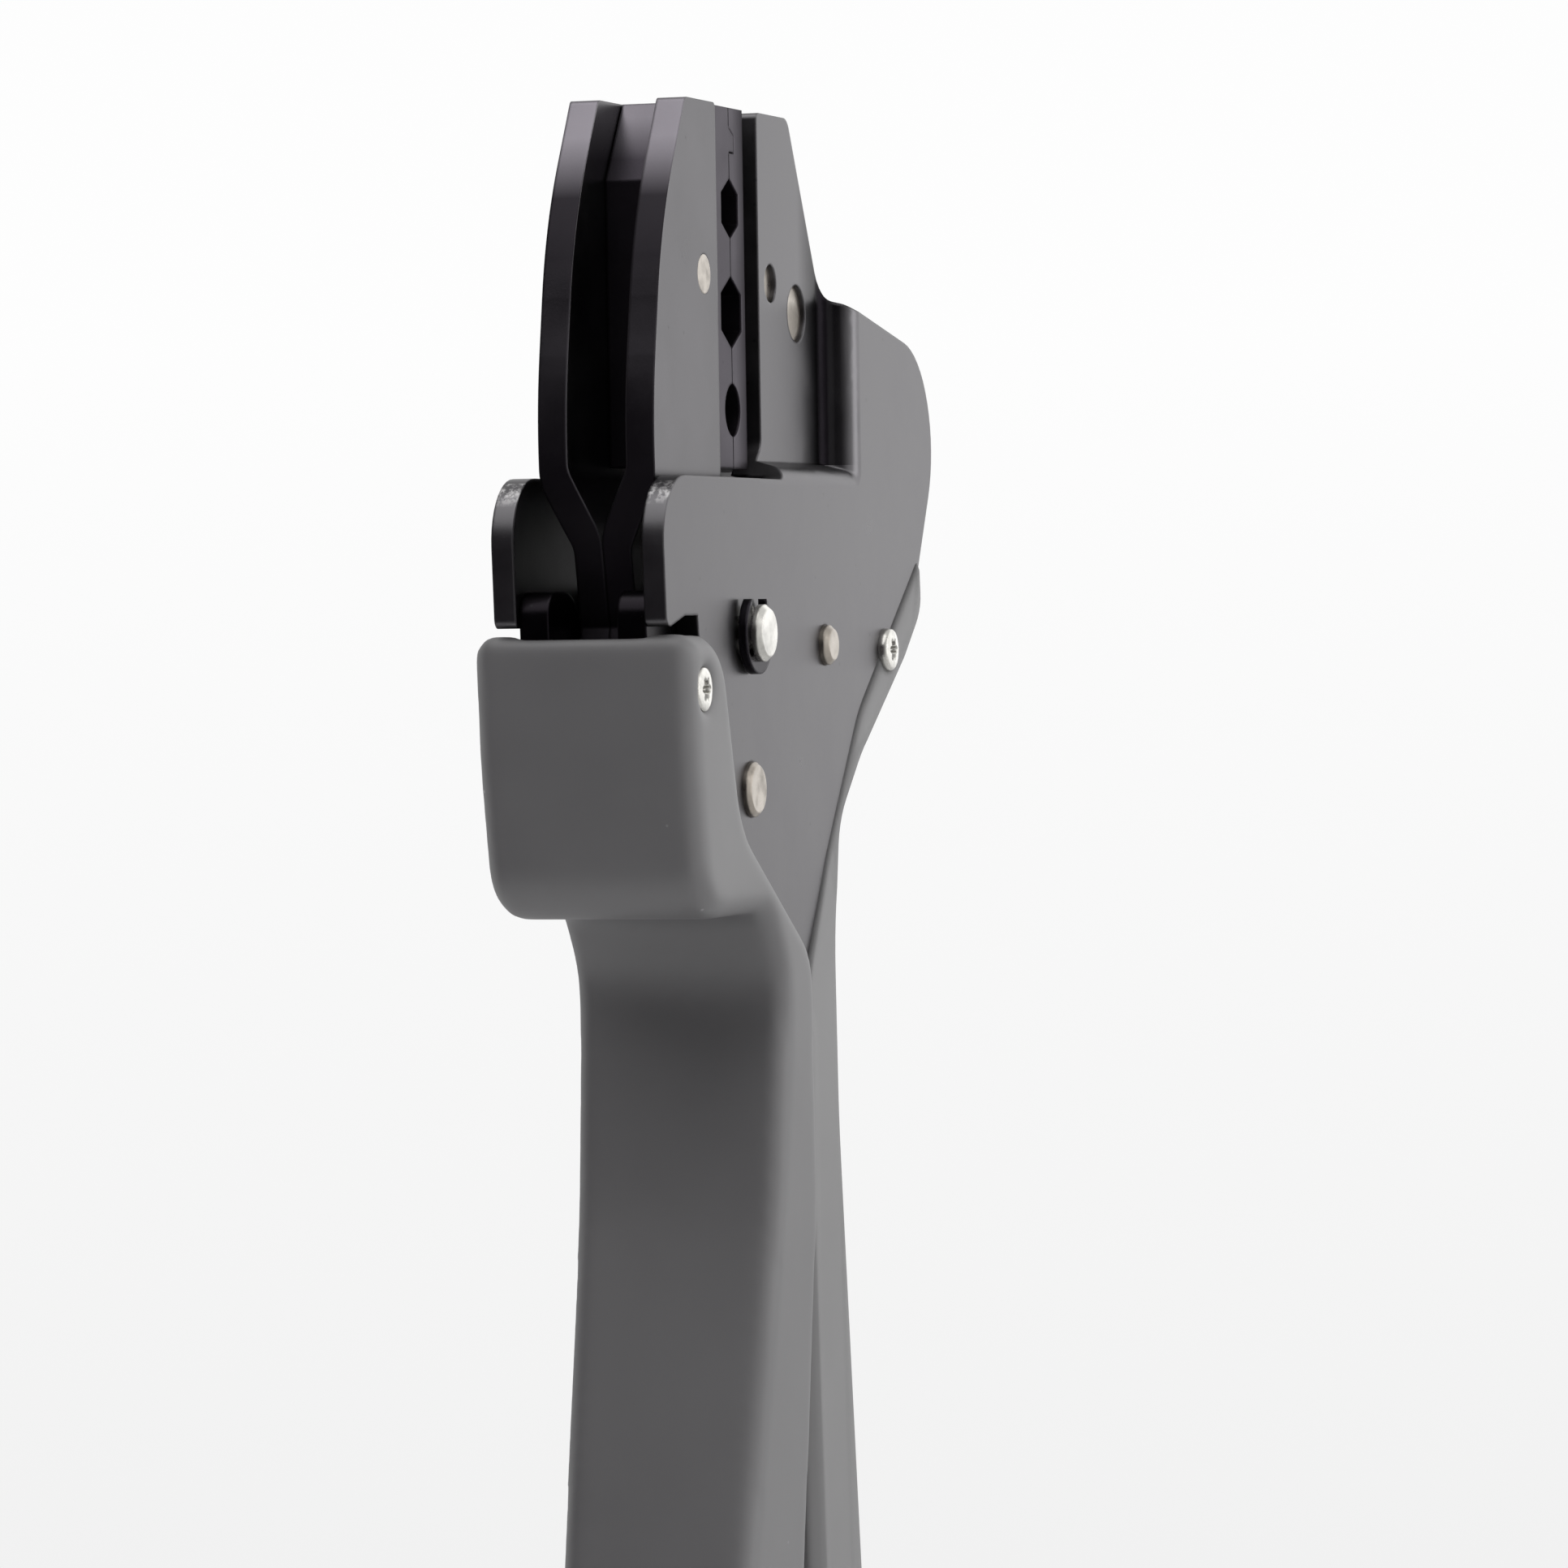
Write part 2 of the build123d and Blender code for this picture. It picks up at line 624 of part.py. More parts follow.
def moving_grip_screw():
    """Short screw from one cheek into the handle plate below; its head is sunk in the cheek."""
    head = disc(MOVING_SCREW, MOVING_SCREW_HEAD_R, BLOCK_HALF - SCREW_HEAD_THICK, BLOCK_HALF)
    shank = disc(MOVING_SCREW, SCREW_R, HANDLE_INNER, BLOCK_HALF - SCREW_HEAD_THICK)
    return head + shank


# The fixed handle

def fixed_grip_outer():
    upper = outline([
        (52.4, -22.2, 1.9),
        (50.8, -31.6, 7),
        (44.2, -36.9, 14),
        (29.0, -46.6, 20),
        (21.4, -53.6, 10),
        (18.7, -64.0, 30),
        (19.2, -84.0, 80),
        (24.4, -131.0, 120),
        (31.0, STAND_Z, 5),
        (13.4, STAND_Z, 5),
        (9.6, -131.0, 120),
        (7.2, -88.0, 60),
        (7.2, -68.0, 8),
        (15.6, -55.2, 14),
        (27.2, -40.6, 16),
    ])
    grip = slab(upper, -FIXED_GRIP_HALF, FIXED_GRIP_HALF)
    return soften(grip, FIXED_GRIP_HALF)


def fixed_grip():
    """Moulded grip with a slot for each frame plate and an open throat between them."""
    slots = slab(frame_outline(), FRAME_INNER, FRAME_OUTER)
    throat = slab(Pos(30, -22) * Rectangle(90, 84), -FRAME_INNER, FRAME_INNER)
    grip = fixed_grip_outer() - slots - far(slots) - throat
    return grip - fixed_screw_body()


def fixed_screw_body():
    head = disc(FIXED_SCREW, FIXED_SCREW_HEAD_R, FRAME_OUTER, FIXED_GRIP_HALF + FIXED_SCREW_PROUD)
    shank = disc(FIXED_SCREW, SCREW_R, -FRAME_OUTER, FRAME_OUTER)
    return head + shank


def write(name, shape):
    """Save one piece, lifted so the tool stands on its handle ends."""
    placed = Pos(-CENTRE_X, 0, -STAND_Z) * shape
    export_step(placed, "parts/" + name + ".step")


def both_sides(name, shape):
    write(name + "_near", shape)
    write(name + "_far", far(shape))


os.makedirs("parts", exist_ok=True)
write("moving_die", moving_die())
write("fixed_die", fixed_die())
write("moving_die_pin", die_pin(-1, JAW_INNER + JAW_SHEET, 0))
write("fixed_die_pin", die_pin(1, FIXED_JAW_OUTER, 0.6))
both_sides("jaw_plate", jaw_plate())
write("frame_plate_near", frame_plate())
write("frame_plate_far", frame_plate_far())
write("jaw_pivot_pin", jaw_pivot_pin())
both_sides("pivot_clip", pivot_clip())
both_sides("pivot_spacer", pivot_spacer())
write("jaw_rivet", jaw_rivet())
write("rear_rivet", rear_rivet())
write("anchor_pin", anchor_pin())
write("adjusting_wheel", adjusting_wheel())
write("wheel_screw", wheel_screw())
write("pressure_arm", pressure_arm())
write("pawl", pawl())
write("link_pin", handle_pin(LINK, LINK_R))
write("toggle_pin", handle_pin(TOGGLE, TOGGLE_R))
write("pawl_pin", handle_pin(PAWL, PAWL_PIN_R))
both_sides("handle_plate", handle_plate())
write("moving_grip", moving_grip())
both_sides("moving_grip_screw", moving_grip_screw())
write("fixed_grip", fixed_grip())
write("fixed_grip_screw", fixed_screw_body())
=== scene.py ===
from math import cos, radians, sin

import bpy
import numpy as np
from mathutils import Matrix, Vector


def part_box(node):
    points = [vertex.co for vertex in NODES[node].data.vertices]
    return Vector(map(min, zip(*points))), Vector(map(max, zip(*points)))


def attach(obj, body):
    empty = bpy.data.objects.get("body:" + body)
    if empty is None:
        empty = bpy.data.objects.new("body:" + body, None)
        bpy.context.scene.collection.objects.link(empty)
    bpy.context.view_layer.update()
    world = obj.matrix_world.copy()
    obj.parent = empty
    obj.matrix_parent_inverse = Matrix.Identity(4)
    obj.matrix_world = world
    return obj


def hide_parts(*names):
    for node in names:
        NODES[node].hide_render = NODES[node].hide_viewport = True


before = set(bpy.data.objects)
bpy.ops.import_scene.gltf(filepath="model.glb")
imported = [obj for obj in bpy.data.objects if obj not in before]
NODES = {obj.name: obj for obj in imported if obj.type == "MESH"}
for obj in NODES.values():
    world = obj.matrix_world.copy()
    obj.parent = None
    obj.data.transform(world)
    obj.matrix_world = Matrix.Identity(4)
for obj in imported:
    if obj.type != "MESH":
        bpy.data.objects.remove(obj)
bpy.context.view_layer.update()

# Looks of the coaxial crimping tool. Lengths are metres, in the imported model's own frame:
# X from the moving jaw to the fixed jaw, Z up, the side with the clip and screws at negative Y.

# Camera, as the photograph was taken: close to edge on, from about the height of the pivot
IMAGE_SIDE = 1932
FOCAL_PIXELS = 8471.0
SENSOR = 36.0
VIEW_TURN = radians(18.31)
VIEW_DROP = radians(1.39)
VIEW_LEAN = radians(-0.92)
VIEW_DISTANCE = 0.703
SEAM = Vector((-0.011, -0.005, 0.200))
SEAM_PIXEL = (901.0, 385.0)

# Floor: a thin disc, and the distances from the tool between which it fades away
FLOOR_RADIUS = 1.6
FLOOR_CAP_RADIUS = 0.02
FLOOR_TOP = -0.0002
FLOOR_THICKNESS = 0.002
FLOOR_FADE = (0.06, 0.26)
FLOOR_COLOUR = (0.86, 0.86, 0.865, 1.0)

# Room: levels of its light, and the heights of a direction, -1 to 1, between which they change
BACKGROUND_LOW = 0.88
BACKGROUND_HIGH = 0.985
BACKGROUND_RISE = (-0.14, 0.04)
ROOM_LEVEL = 0.45
BOUNCE_LEVEL = 4.8
BOUNCE_FADE = (-0.95, -0.45)
WHITE = (1.0, 1.0, 1.0, 1.0)

# Dark flag round the camera: its direction, colour, and the cosines between which it deepens
FLAG_SIDE = Vector((-0.86, 0.45, 0.02))
FLAG_COLOUR = (0.040, 0.033, 0.043, 1.0)
FLAG_SPREAD = (0.20, 0.74)

# Soft boxes: name, place, the point that it looks at, width and height, watts
SOFT_BOXES = (
    ("top_soft_box", (-0.50, 0.10, 1.05), (0.0, 0.0, 0.15), (1.0, 1.2), 6.0),
    ("right_soft_box", (0.25, -1.00, 0.35), (0.0, 0.0, 0.12), (0.8, 0.9), 4.2),
    ("back_soft_box", (1.10, -0.50, 0.50), (0.0, 0.0, 0.12), (1.2, 1.0), 3.0),
)

# Copies of CAD nodes: how near to each other corners count as one
SAME_CORNER = 0.000001

# Rear grip: front edge of its cheeks, as X and Z from the top down, where they thin out over the frame
CHEEK_EDGE = ((0.0414, 0.1778), (0.0162, 0.1594), (0.0046, 0.1448), (-0.0038, 0.1320))
FRAME_FACE_Y = 0.0090
CHEEK_STANDS_OUT = 0.00002
CHEEK_WIDTH = 0.0045
CHEEK_THIN = 0.06
CHEEK_LOW_Z = 0.134
CHEEK_HIGH_Z = 0.146

# Moving grip: the even skin and the rounding of its moulded edges
SKIN_CELL = 0.0005
ROLL_PASSES = 16
ROLL_SHARE = 0.5

# Grip screws and the bodies that they ride on
STAR_SCREWS = {
    "moving_grip_screw_near": "moving_handle",
    "moving_grip_screw_far": "moving_handle",
    "fixed_grip_screw": "frame",
}

# Pan head of a grip screw, with depths measured down from its top
HEAD_RADIUS = 0.0023
HEAD_DOME = 0.00022
HEAD_ROUNDING = 0.00045
HEAD_ROUND_FROM = 0.90
HEAD_RIM = 0.0009
HEAD_HEIGHT = 0.0013
SHANK_RADIUS = 0.0014

# Recess in the pan head: all but its depth are shares of the head's radius
RECESS_DEPTH = 0.00075
RECESS_RADIUS = 0.47
RECESS_LOBE = 0.085
RECESS_WALL = 0.05
RECESS_LOBES = 6

# Black oxide on the different parts, its wear and specks, and a near black for painted shade and the dies'
# seam
OXIDE = (0.117, 0.114, 0.119, 1.0)
DIE_OXIDE = (0.100, 0.094, 0.104, 1.0)
CLIP_OXIDE = (0.022, 0.020, 0.024, 1.0)
# Handle plates: the oxide made much darker, painted shade between the frame's lobes
HANDLE_PAINTED_SHADE_OXIDE = (0.012, 0.0105, 0.0125, 1.0)
OXIDE_WORN = (0.24, 0.23, 0.23, 1.0)
# Near black for painted shade in the joggle, the lobes and the dies, and for the dies' dark seam
PAINTED_SHADE_AND_SEAM_BLACK = (0.007, 0.006, 0.0075, 1.0)
OXIDE_SPECK = (0.03, 0.03, 0.032, 1.0)
BARE_STEEL = (0.55, 0.54, 0.54, 1.0)

# Bright metals
NICKEL = (0.31, 0.28, 0.245, 1.0)
DULL_NICKEL = (0.20, 0.185, 0.165, 1.0)
CLEAN_NICKEL = (0.53, 0.52, 0.49, 1.0)
SCREW_NICKEL = (0.52, 0.51, 0.48, 1.0)
LINKAGE_GREY = (0.40, 0.40, 0.41, 1.0)

# Grips
GRIP_GREY = (0.082, 0.080, 0.083, 1.0)
# Rear grip: the grip's plastic made paler, painted light
REAR_GRIP_PAINTED_LIGHT_GREY = (0.120, 0.118, 0.120, 1.0)
# Front edge of the rear grip: painted light
FEATHER_PAINTED_LIGHT = (0.34, 0.335, 0.34, 1.0)
DUST_GREY = (0.42, 0.42, 0.42, 1.0)
GRIP_IOR = 1.85

# Fronts of the jaw blades, painted light: heights where the painted highlight and shade change, from the tip
# down
BLADE_TIP = 0.2170
BLADE_TURN = 0.2108
BLADE_BELLY = 0.2047
BLADE_ROOT = 0.1965
BLADE_ROOT_SHARE = 0.26
BLADE_PAINTED_SHADE = (0.020, 0.018, 0.021, 1.0)
BLADE_PAINTED_HIGHLIGHT = (0.168, 0.157, 0.174, 1.0)

# Crease of the frame's joggle, painted shade: its span along X, and the height of its foot
CREASE_FROM = 0.0098
CREASE_AT = 0.0156
CREASE_WIDTH = 0.0014
CREASE_END = 0.0184
CREASE_FOOT = 0.1848

# Front lobes and rubbed front corners of the frame
CORNER_X = -0.0405
CORNER_Z = 0.1800
CORNER_BAND = 0.0022
SCRATCH_SCALE = 1500.0
SCRATCH_STRETCH = (1.0, 1.0, 0.5)
LOBE_BACK_X = -0.022
LOBE_INSIDE_Y = 0.0068
LOBE_SHADE = 0.8
FRONT_SHADE = 0.20
FRONT_SHADE_END_X = 0.020

# Dies: the hairline where they meet, the key that crosses it, and their painted light and shade
SEAM_WIDTH = 0.00028
KEY_Z = (0.2162, 0.2190)
DIE_BACK_RISE = (0.2150, 0.2195)
DIE_BACK_PAINTED_SHADE = (0.035, 0.031, 0.037, 1.0)
DIE_BACK_PAINTED_LIGHT = (0.140, 0.130, 0.145, 1.0)
DIE_SHADE_FROM = 0.0012
DIE_SHADE_TO = 0.0044
DIE_SHADE = 0.6

# Painted light on the front edge of the rear grip: the height where it starts and the height that it takes
FEATHER_Z = 0.140
FEATHER_RISE = 0.010


# Shader building blocks

def new_group(name, inputs, outputs):
    """Empty shader node group with named sockets; each input is (name, kind, default)."""
    group = bpy.data.node_groups.new(name, "ShaderNodeTree")
    for label, kind, default in inputs:
        socket = group.interface.new_socket(label, in_out="INPUT", socket_type="NodeSocket" + kind)
        socket.default_value = default
    for label, kind in outputs:
        group.interface.new_socket(label, in_out="OUTPUT", socket_type="NodeSocket" + kind)
    return group


class Wiring:
    """Places nodes in a tree and joins them by socket name."""

    def __init__(self, tree):
        self.tree = tree

    def node(self, kind, **settings):
        made = self.tree.nodes.new(kind)
        for key, value in settings.items():
            setattr(made, key, value)
        return made

    def feed(self, socket, value):
        """A socket's value: a link where it comes from another node, or else a plain number."""
        if isinstance(value, bpy.types.NodeSocket):
            self.tree.links.new(value, socket)
        else:
            socket.default_value = value

    def maths(self, operation, first, second=0.0, clamp=False):
        made = self.node("ShaderNodeMath", operation=operation, use_clamp=clamp)
        self.feed(made.inputs[0], first)
        self.feed(made.inputs[1], second)
        return made.outputs[0]

    def measure(self, operation, first, second):
        """A number worked out from two vectors."""
        made = self.node("ShaderNodeVectorMath", operation=operation)
        self.feed(made.inputs[0], first)
        self.feed(made.inputs[1], second)
        return made.outputs["Value"]

    def parts(self, vector):
        """The X, Y and Z of a vector."""
        made = self.node("ShaderNodeSeparateXYZ")
        self.feed(made.inputs[0], vector)
        return made.outputs

    def object_place(self):
        return self.node("ShaderNodeTexCoord").outputs["Object"]

    def place_parts(self):
        """The X, Y and Z of the place on the piece."""
        return self.parts(self.object_place())

    def normal_parts(self):
        """The X, Y and Z of the direction that the surface faces."""
        return self.parts(self.node("ShaderNodeNewGeometry").outputs["Normal"])

    def stretched(self, place, scale):
        """Place scaled by a different number along each axis."""
        made = self.node("ShaderNodeMapping")
        self.feed(made.inputs["Vector"], place)
        made.inputs["Scale"].default_value = scale
        return made.outputs["Vector"]

    def noise(self, place, scale, detail, roughness):
        made = self.node("ShaderNodeTexNoise")
        self.feed(made.inputs["Vector"], place)
        self.feed(made.inputs["Scale"], scale)
        made.inputs["Detail"].default_value = detail
        made.inputs["Roughness"].default_value = roughness
        return made.outputs["Fac"]

    def remap(self, value, low, high, to_low=0.0, to_high=1.0):
        made = self.node("ShaderNodeMapRange", clamp=True)
        self.feed(made.inputs["Value"], value)
        self.feed(made.inputs["From Min"], low)
        self.feed(made.inputs["From Max"], high)
        self.feed(made.inputs["To Min"], to_low)
        self.feed(made.inputs["To Max"], to_high)
        return made.outputs["Result"]

    def blend(self, share, first, second):
        """First colour where the share is nothing, second where it is one."""
        made = self.node("ShaderNodeMix", data_type="RGBA")
        self.feed(made.inputs[0], share)
        self.feed(made.inputs[6], first)
        self.feed(made.inputs[7], second)
        return made.outputs[2]

    def choose(self, share, first, second):
        """First number where the share is nothing, second where it is one."""
        made = self.node("ShaderNodeMix", data_type="FLOAT")
        self.feed(made.inputs[0], share)
        self.feed(made.inputs[2], first)
        self.feed(made.inputs[3], second)
        return made.outputs[0]

    def cut_faces(self):
        """One on the faces that were cut across the sheets, nothing on their broad faces."""
        return self.remap(self.maths("ABSOLUTE", self.normal_parts()["Y"]), 0.97, 0.90)

    def bump(self, height, strength, distance, normal):
        made = self.node("ShaderNodeBump")
        made.inputs["Strength"].default_value = strength
        made.inputs["Distance"].default_value = distance
        self.feed(made.inputs["Height"], height)
        self.feed(made.inputs["Normal"], normal)
        return made.outputs["Normal"]

    def group(self, group, **values):
        """A shared group with its own values; underscores in the names stand for spaces."""
        made = self.node("ShaderNodeGroup", node_tree=group)
        for label, value in values.items():
            self.feed(made.inputs[label.replace("_", " ")], value)
        return made.outputs


def build_edge_group():
    """Softened edges: a normal that rolls over them, and a patchy mask of where they are rubbed."""
    group = new_group("softened_edges", [
        ("Radius", "Float", 0.0004),
        ("Rub", "Float", 0.5),
        ("Patch Scale", "Float", 250.0),
    ], [("Mask", "Float"), ("Normal", "Vector")])
    w = Wiring(group)
    given = w.node("NodeGroupInput").outputs
    rolled = w.node("ShaderNodeBevel", samples=6)
    w.feed(rolled.inputs["Radius"], given["Radius"])
    flat = w.node("ShaderNodeNewGeometry").outputs["True Normal"]
    turned = w.maths("SUBTRACT", 1.0, w.measure("DOT_PRODUCT", rolled.outputs["Normal"], flat))
    edge = w.remap(turned, 0.015, 0.14)
    patches = w.noise(w.object_place(), given["Patch Scale"], 4.0, 0.65)
    limit = w.maths("SUBTRACT", 0.75, w.maths("MULTIPLY", given["Rub"], 0.5))
    patchy = w.remap(patches, limit, w.maths("ADD", limit, 0.12))
    out = w.node("NodeGroupOutput")
    w.feed(out.inputs["Mask"], w.maths("MULTIPLY", edge, patchy, clamp=True))
    w.feed(out.inputs["Normal"], rolled.outputs["Normal"])
    return group


def build_grain_group():
    """Fine grain of a coating or a moulding: an even speckle and a slow cloudiness over it."""
    group = new_group("surface_grain", [
        ("Grain Scale", "Float", 4000.0),
        ("Cloud Scale", "Float", 90.0),
    ], [("Grain", "Float"), ("Cloud", "Float")])
    w = Wiring(group)
    given = w.node("NodeGroupInput").outputs
    place = w.object_place()
    out = w.node("NodeGroupOutput")
    w.feed(out.inputs["Grain"], w.noise(place, given["Grain Scale"], 3.0, 0.7))
    w.feed(out.inputs["Cloud"], w.noise(place, given["Cloud Scale"], 4.0, 0.55))
    return group


def build_speck_group():
    """Scattered small pits or dust specks: cell centres of a coarse pattern, most of them left out."""
    group = new_group("scattered_specks", [
        ("Speck Scale", "Float", 900.0),
        ("Speck Size", "Float", 0.18),
        ("Share", "Float", 0.15),
    ], [("Mask", "Float")])
    w = Wiring(group)
    given = w.node("NodeGroupInput").outputs
    cells = w.node("ShaderNodeTexVoronoi")
    w.feed(cells.inputs["Vector"], w.object_place())
    w.feed(cells.inputs["Scale"], given["Speck Scale"])
    near = w.remap(cells.outputs["Distance"], given["Speck Size"], 0.0)
    pick = w.node("ShaderNodeSeparateColor")
    w.feed(pick.inputs["Color"], cells.outputs["Color"])
    kept = w.maths("LESS_THAN", pick.outputs["Red"], given["Share"])
    out = w.node("NodeGroupOutput")
    w.feed(out.inputs["Mask"], w.maths("MULTIPLY", near, kept, clamp=True))
    return group


EDGES = build_edge_group()
GRAIN = build_grain_group()
SPECKS = build_speck_group()


def new_material(name):
    """Empty material with one Principled shader; returns material, wiring and shader."""
    material = bpy.data.materials.new(name)
    material.use_nodes = True
    tree = material.node_tree
    tree.nodes.clear()
    w = Wiring(tree)
    shader = w.node("ShaderNodeBsdfPrincipled")
    out = w.node("ShaderNodeOutputMaterial")
    w.feed(out.inputs["Surface"], shader.outputs[0])
    return material, w, shader


def scaled(colour, factor):
    """A paler or darker shade of a colour."""
    return tuple(channel * factor for channel in colour[:3]) + (1.0,)


# Painted light and shade, scratches and seams for one place on a part; each takes a colour, returns the new
# one

def painted_light_on_blade_fronts(w, colour):
    """Fronts of the jaw blades: a painted highlight at the tip, painted shade darkest along the belly, a
    little paler below.
    """
    height = w.place_parts()["Z"]
    tip = w.remap(height, BLADE_TURN, BLADE_TIP)
    root = w.remap(height, BLADE_BELLY, BLADE_ROOT, 0.0, BLADE_ROOT_SHARE)
    # Painted highlight at the tip and painted shade along the belly of the blade fronts
    front = w.blend(w.maths("MAXIMUM", tip, root), BLADE_PAINTED_SHADE, BLADE_PAINTED_HIGHLIGHT)
    return w.blend(w.cut_faces(), colour, front)


def joggle_painted_shade(w, colour):
    """Frame plates: painted shade in the crease of the joggle, above its foot."""
    place = w.place_parts()
    into = w.remap(place["X"], CREASE_FROM, CREASE_AT)
    out_of = w.remap(place["X"], CREASE_AT + CREASE_WIDTH, CREASE_END, 1.0, 0.0)
    above = w.maths("GREATER_THAN", place["Z"], CREASE_FOOT)
    crease = w.maths("MULTIPLY", w.maths("MULTIPLY", into, out_of), above)
    # Painted shade: the crease is blended to near black
    return w.blend(crease, colour, PAINTED_SHADE_AND_SEAM_BLACK)


def front_shade(w, colour):
    """Frame plates: dark on the inner side of the front lobes, and a little darker toward the front."""
    place = w.place_parts()
    lobe = w.maths("LESS_THAN", place["X"], LOBE_BACK_X)
    inside = w.maths("LESS_THAN", w.maths("ABSOLUTE", place["Y"]), LOBE_INSIDE_Y)
    inner_side = w.maths("MULTIPLY", w.maths("MULTIPLY", lobe, inside), LOBE_SHADE)
    toward_front = w.remap(place["X"], CORNER_X, FRONT_SHADE_END_X, FRONT_SHADE, 0.0)
    return w.blend(w.maths("MAXIMUM", inner_side, toward_front), colour, PAINTED_SHADE_AND_SEAM_BLACK)


def corner_scratches(w, colour):
    """Frame plates: bare scratches on the cut faces of the front corners."""
    place = w.place_parts()
    high = w.remap(place["Z"], CORNER_Z, CORNER_Z + CORNER_BAND)
    front = w.maths("LESS_THAN", place["X"], CORNER_X)
    corner = w.maths("MULTIPLY", w.maths("MULTIPLY", high, w.cut_faces()), front)
    scratches = w.noise(w.stretched(w.object_place(), SCRATCH_STRETCH), SCRATCH_SCALE, 4.0, 0.7)
    bare = w.maths("MULTIPLY", w.remap(scratches, 0.44, 0.60), corner)
    return w.blend(bare, colour, BARE_STEEL)


def frame_marks(w, colour):
    """Frame plates: the painted shade in the crease, then the painted shade on the lobes and toward the
    front, then the scratches.
    """
    return corner_scratches(w, front_shade(w, joggle_painted_shade(w, colour)))


def die_marks(w, colour):
    """Dies: a dark hairline where they meet, painted shade toward the fixed jaw, and on their backs painted
    light above and painted shade below.
    """
    place = w.place_parts()
    from_seam = w.maths("ABSOLUTE", w.maths("SUBTRACT", place["X"], SEAM.x))
    line = w.remap(from_seam, SEAM_WIDTH / 2, SEAM_WIDTH / 3)
    below_key = w.maths("LESS_THAN", place["Z"], KEY_Z[0])
    above_key = w.maths("GREATER_THAN", place["Z"], KEY_Z[1])
    hairline = w.maths("MULTIPLY", line, w.maths("ADD", below_key, above_key))
    shaded = w.remap(place["X"], SEAM.x + DIE_SHADE_FROM, SEAM.x + DIE_SHADE_TO, 0.0, DIE_SHADE)
    front = w.blend(shaded, colour, PAINTED_SHADE_AND_SEAM_BLACK)
    # Painted light at the top of the die backs, painted shade lower down
    back = w.blend(w.remap(place["Z"], *DIE_BACK_RISE), DIE_BACK_PAINTED_SHADE, DIE_BACK_PAINTED_LIGHT)
    return w.blend(hairline, w.blend(w.cut_faces(), front, back), PAINTED_SHADE_AND_SEAM_BLACK)


def painted_light_on_feathered_edge(w, colour):
    """Rear grip: painted light makes its thin front edge, where it runs out over the frame, paler."""
    front = w.remap(w.normal_parts()["X"], -0.2, -0.7)
    upper = w.remap(w.place_parts()["Z"], FEATHER_Z, FEATHER_Z + FEATHER_RISE)
    return w.blend(w.maths("MULTIPLY", front, upper), colour, FEATHER_PAINTED_LIGHT)


# Finishes

def black_oxide(name, colour, rub, roughness=0.32, glance=0.70, marks=None):
    """Blackened steel: satin, a little cloudy, finely speckled, rubbed brighter along its edges.

    Glance is how much of the light it returns where it is seen almost edge on, and marks is the
    function that lays a part's painted light and shade, scratches and seam over the coating.
    """
    material, w, shader = new_material(name)
    shader.inputs["Specular Tint"].default_value = (glance, glance, glance, 1.0)
    edge = w.group(EDGES, Radius=0.0004, Rub=rub, Patch_Scale=420.0)
    grain = w.group(GRAIN, Grain_Scale=5200.0, Cloud_Scale=110.0)
    specks = w.group(SPECKS, Speck_Scale=650.0, Speck_Size=0.16, Share=0.10)
    clouded = w.blend(w.remap(grain["Cloud"], 0.35, 0.7), colour, scaled(colour, 1.25))
    speckled = w.blend(w.maths("MULTIPLY", specks["Mask"], 0.5), clouded, OXIDE_SPECK)
    coated = w.blend(edge["Mask"], speckled, OXIDE_WORN)
    w.feed(shader.inputs["Base Color"], marks(w, coated) if marks else coated)
    shader.inputs["Metallic"].default_value = 1.0
    w.feed(shader.inputs["Roughness"], w.remap(grain["Cloud"], 0.3, 0.7, roughness - 0.05, roughness + 0.07))
    w.feed(shader.inputs["Normal"], w.bump(grain["Grain"], 0.35, 0.00002, edge["Normal"]))
    return material


def nickel(name, colour, roughness):
    """Plated pin: warm satin metal with a fine grain and small dull patches."""
    material, w, shader = new_material(name)
    edge = w.group(EDGES, Radius=0.0003, Rub=0.2, Patch_Scale=600.0)
    grain = w.group(GRAIN, Grain_Scale=2600.0, Cloud_Scale=420.0)
    dull = w.blend(w.remap(grain["Cloud"], 0.45, 0.75), colour, scaled(colour, 0.55))
    w.feed(shader.inputs["Base Color"], dull)
    shader.inputs["Metallic"].default_value = 1.0
    w.feed(shader.inputs["Roughness"], w.remap(grain["Cloud"], 0.3, 0.7, roughness, roughness + 0.16))
    w.feed(shader.inputs["Normal"], w.bump(grain["Grain"], 0.25, 0.00001, edge["Normal"]))
    return material


def ground_steel(name, colour):
    """Bare ground steel of the linkage inside: grey metal with fine lines along the tool."""
    material, w, shader = new_material(name)
    edge = w.group(EDGES, Radius=0.0003, Rub=0.4, Patch_Scale=400.0)
    grain = w.group(GRAIN, Grain_Scale=3000.0, Cloud_Scale=160.0)
    lines = w.noise(w.stretched(w.object_place(), (1.0, 1.0, 0.06)), 3800.0, 2.0, 0.5)
    clouded = w.blend(w.remap(grain["Cloud"], 0.35, 0.7), colour, scaled(colour, 0.6))
    w.feed(shader.inputs["Base Color"], clouded)
    shader.inputs["Metallic"].default_value = 1.0
    w.feed(shader.inputs["Roughness"], w.remap(lines, 0.3, 0.7, 0.30, 0.46))
    w.feed(shader.inputs["Normal"], w.bump(lines, 0.2, 0.00001, edge["Normal"]))
    return material


